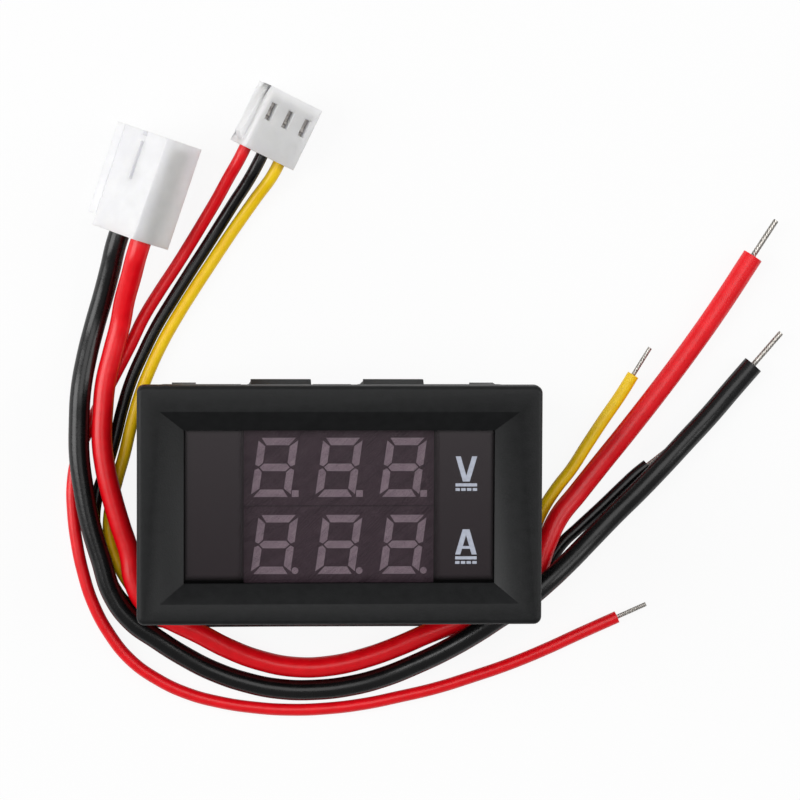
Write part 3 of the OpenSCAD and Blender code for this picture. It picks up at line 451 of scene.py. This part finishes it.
def two_strokes(base_y, opens_up):
    outer, inner = mark_w / 2, mark_w / 2 - mark_stroke
    profile = ((-outer, mark_h), (-mark_tip, 0), (mark_tip, 0), (outer, mark_h),
               (inner, mark_h), (0, mark_h - inner_reach), (-inner, mark_h))
    return [(mark_x + x, base_y + (y if opens_up else mark_h - y)) for x, y in profile]


def crossbar(base_y, low, high):
    wide, narrow = ((mark_w / 2 - mark_stroke) * (1 - y / inner_reach) for y in (low, high))
    return ((mark_x - wide, base_y + low), (mark_x + wide, base_y + low),
            (mark_x + narrow, base_y + high), (mark_x - narrow, base_y + high))


volt_y, amp_y, sign_gap = 0.00268, -0.00603, 0.00022
bar_low, bar_high = 0.00068, 0.00101
mark_mesh("volt_mark", [two_strokes(volt_y, True)] + direct_current_sign(volt_y - sign_gap))
mark_mesh("amp_mark", [two_strokes(amp_y, False), crossbar(amp_y, bar_low, bar_high)]
          + direct_current_sign(amp_y - sign_gap))


# ---- Displays ----
# Two three-digit LED displays, potted cases with a dark printed face. The
# unlit segments are frosted resin windows set flush with the face.
display_face, tree, shader, place = new_finish("display_face", {"Roughness": 0.6})
mottle(tree, shader, place, srgb(100, 76, 90), srgb(112, 88, 102), 1200)
unlit_segments, tree, shader, place = new_finish("unlit_segments", {"Roughness": 0.55})
mottle(tree, shader, place, srgb(226, 196, 214), srgb(240, 212, 228), 1500)
grain(tree, shader, place, 5000, 0.00002)
for cad_name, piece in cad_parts.items():
    if "display_case" in cad_name or "digit" in cad_name:
        piece.data.materials.clear()
        piece.data.materials.append(unlit_segments if "digit" in cad_name else display_face)

# ---- Board ----
# Glass laminate with green solder mask on both sides, sitting on four
# corner ledges and held by snap catches in the end walls.
green_board, tree, shader, place = new_finish("green_board", {"Roughness": 0.3})
mottle(tree, shader, place, srgb(10, 52, 32), srgb(16, 66, 42), 500)
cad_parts["main_board"].data.materials.clear()
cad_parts["main_board"].data.materials.append(green_board)

# ---- Parts on the board ----
# Moulded chips, chip resistors and capacitors, a diode, two trimmers, the
# bowed shunt wire, and the tinned pins that carry the displays.
def dress(names, finish):
    for cad_name in names:
        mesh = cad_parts[cad_name].data
        mesh.materials.clear()
        mesh.materials.append(finish)


tinned_pins = tinned("tinned_pins", 0.25, 0.38)
dress(("display_pins", "load_header_pins", "supply_header_pins", "component_leads"), tinned_pins)
black_epoxy, tree, shader, place = new_finish("black_epoxy", {"Roughness": 0.55})
mottle(tree, shader, place, srgb(34, 34, 35), srgb(46, 46, 47), 2500)
dress(("controller_chip", "amplifier_chip", "regulator", "diode"), black_epoxy)
black_chip_film, tree, shader, place = new_finish("black_chip_film", {})
mottle(tree, shader, place, srgb(22, 22, 24), srgb(34, 34, 36), 2500)
dress(("resistors",), black_chip_film)
tan_ceramic, tree, shader, place = new_finish("tan_ceramic", {})
mottle(tree, shader, place, srgb(166, 132, 92), srgb(184, 150, 108), 1500)
dress(("capacitors",), tan_ceramic)
cream_ceramic, tree, shader, place = new_finish("cream_ceramic", {})
mottle(tree, shader, place, srgb(208, 204, 190), srgb(222, 218, 206), 1500)
dress(("volt_trimmer_base", "amp_trimmer_base"), cream_ceramic)
trimmer_brass, tree, shader, place = new_finish("trimmer_brass", {"Metallic": 1.0})
mottle(tree, shader, place, srgb(196, 160, 88), srgb(220, 186, 112), 3000)
dress(("volt_trimmer_rotor", "amp_trimmer_rotor"), trimmer_brass)
shunt_alloy, tree, shader, place = new_finish("shunt_alloy", {"Metallic": 1.0})
mottle(tree, shader, place, srgb(186, 130, 96), srgb(208, 152, 116), 1200)
dress(("shunt",), shunt_alloy)

# ---- Headers ----
# Natural nylon mouldings soldered to the board: an open base with a locking
# wall for the load plug, and a keyed box for the supply plug.
white_nylon, tree, shader, place = new_finish("white_nylon", {
    "Subsurface Weight": 0.15, "Subsurface Scale": 0.001})
mottle(tree, shader, place, srgb(226, 225, 218), srgb(236, 235, 229), 800)
dress(("load_header", "supply_header"), white_nylon)

# ---- Plugs ----
# Milky translucent nylon housings with stamped contacts inside, crimped to
# the leads and pushed in from the wire end until their lances catch.
milky_nylon, tree, shader, place = new_finish("milky_nylon", {
    "Subsurface Weight": 0.85, "Subsurface Scale": 0.003,
    "Subsurface Radius": (1.0, 1.0, 1.1), "Roughness": 0.35})
mottle(tree, shader, place, srgb(236, 236, 240), srgb(243, 243, 247), 500)
plug_edge = 0.00015
plug_shells = {}
for cad_name in ("load_plug", "supply_plug"):
    plug_shell = softened(cad_name, cad_name + "_shell", plug_edge, milky_nylon)
    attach(plug_shell, "meter")
    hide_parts(cad_name)
    plug_shells[cad_name] = plug_shell
dress(("load_plug_contacts", "supply_plug_contacts"), tinned("tinned_contacts"))

# A list of what hangs on each lead is gathered: the plug for the first lead of
# its set, and every lead's own bare end. Nothing is done with the list afterwards.
for lead_name, (lead, points, across_lead) in leads.items():
    riders = [twists[lead_name]]
    if lead_name in ("load_lead_black", "supply_lead_red"):
        cad_plug = "load_plug" if lead_name.startswith("load") else "supply_plug"
        riders += [plug_shells[cad_plug], cad_plug, cad_plug + "_contacts"]

# ---- Bench and light ----
# A white bench with soft lamps left and right and a broad one overhead.
bench_mesh = bpy.data.meshes.new("bench")
reach, bench_z = 3, -0.00003
bench_mesh.from_pydata([(-reach, -reach, bench_z), (reach, -reach, bench_z),
                        (reach, reach, bench_z), (-reach, reach, bench_z)], [], [(0, 1, 2, 3)])
bench = bpy.data.objects.new("bench", bench_mesh)
bpy.context.scene.collection.objects.link(bench)
bench_white = bpy.data.materials.new("bench_white")
bench_white.use_nodes = True
tree = bench_white.node_tree
shader = tree.nodes["Principled BSDF"]
shader.inputs["Base Color"].default_value = (0.9, 0.9, 0.9, 1)
shader.inputs["Roughness"].default_value = 0.9
shader.inputs["Specular IOR Level"].default_value = 0.1
rays = tree.nodes.new("ShaderNodeLightPath")
glow = node(tree, "ShaderNodeEmission", {"Color": (1, 1, 1, 1), "Strength": 1.0})
share = node(tree, "ShaderNodeMath", {1: 0.9}, operation="MULTIPLY")
mix = tree.nodes.new("ShaderNodeMixShader")
tree.links.new(rays.outputs["Is Camera Ray"], share.inputs[0])
tree.links.new(share.outputs[0], mix.inputs["Fac"])
tree.links.new(shader.outputs[0], mix.inputs[1])
tree.links.new(glow.outputs[0], mix.inputs[2])
tree.links.new(mix.outputs[0], tree.nodes["Material Output"].inputs["Surface"])
bench_mesh.materials.append(bench_white)

room = bpy.data.worlds.new("room")
bpy.context.scene.world = room
room.use_nodes = True
room.node_tree.nodes["Background"].inputs["Color"].default_value = (1, 1, 1, 1)
room.node_tree.nodes["Background"].inputs["Strength"].default_value = 0.24


def softbox(name, place_at, width, height, power):
    lamp = bpy.data.objects.new(name, bpy.data.lights.new(name, "AREA"))
    lamp.data.shape = "RECTANGLE"
    lamp.data.size = width
    lamp.data.size_y = height
    lamp.data.energy = power
    lamp.location = place_at
    lamp.rotation_mode = "QUATERNION"
    lamp.rotation_quaternion = (-Vector(place_at)).to_track_quat("-Z", "Y")
    bpy.context.scene.collection.objects.link(lamp)


softbox("left_softbox", (-0.8, 0.1, 0.55), 0.6, 0.8, 6.4)
softbox("right_softbox", (0.8, 0.1, 0.55), 0.5, 0.8, 3.2)
softbox("overhead", (0.0, 0.35, 1.2), 0.9, 0.9, 4.5)
